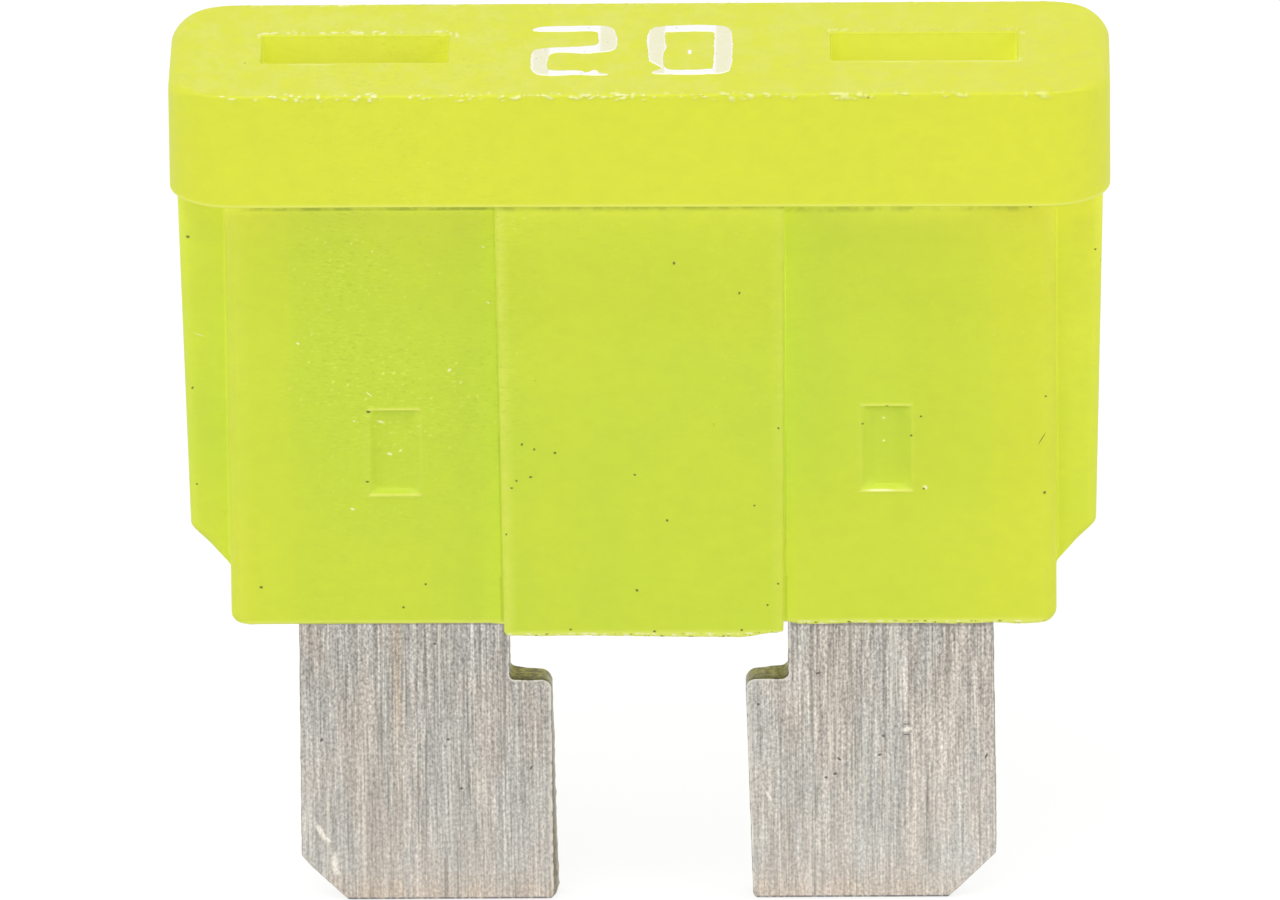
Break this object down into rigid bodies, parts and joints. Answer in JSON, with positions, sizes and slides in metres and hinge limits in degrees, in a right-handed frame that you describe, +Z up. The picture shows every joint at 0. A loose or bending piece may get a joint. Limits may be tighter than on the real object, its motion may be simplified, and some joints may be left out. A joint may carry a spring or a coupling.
{
  "type": "automotive blade fuse",
  "caption": "Regular blade fuse: a flat moulded yellow housing with a wide head and test slots, holding a stamped zinc strip with blades and a thin fuse link.",
  "frame": {"origin": "middle of the housing's underside, in the plane that the blades come out of", "axes": "+X across the two blades, +Y through the thickness from front to back, +Z up from the blades to the head"},
  "size_m": [0.019, 0.0052, 0.0187],
  "materials": {
    "housing_plastic": "injection moulded, translucent yellow, satin",
    "zinc_strip": "rolled and stamped zinc alloy with fine lengthwise lines",
    "white_ink": "thin stamped ink, slightly worn"
  },
  "bodies": {
    "root": {"housing": "housing_plastic", "fuse_element": "zinc_strip", "rating_digits": "white_ink"}
  },
  "joints": []
}
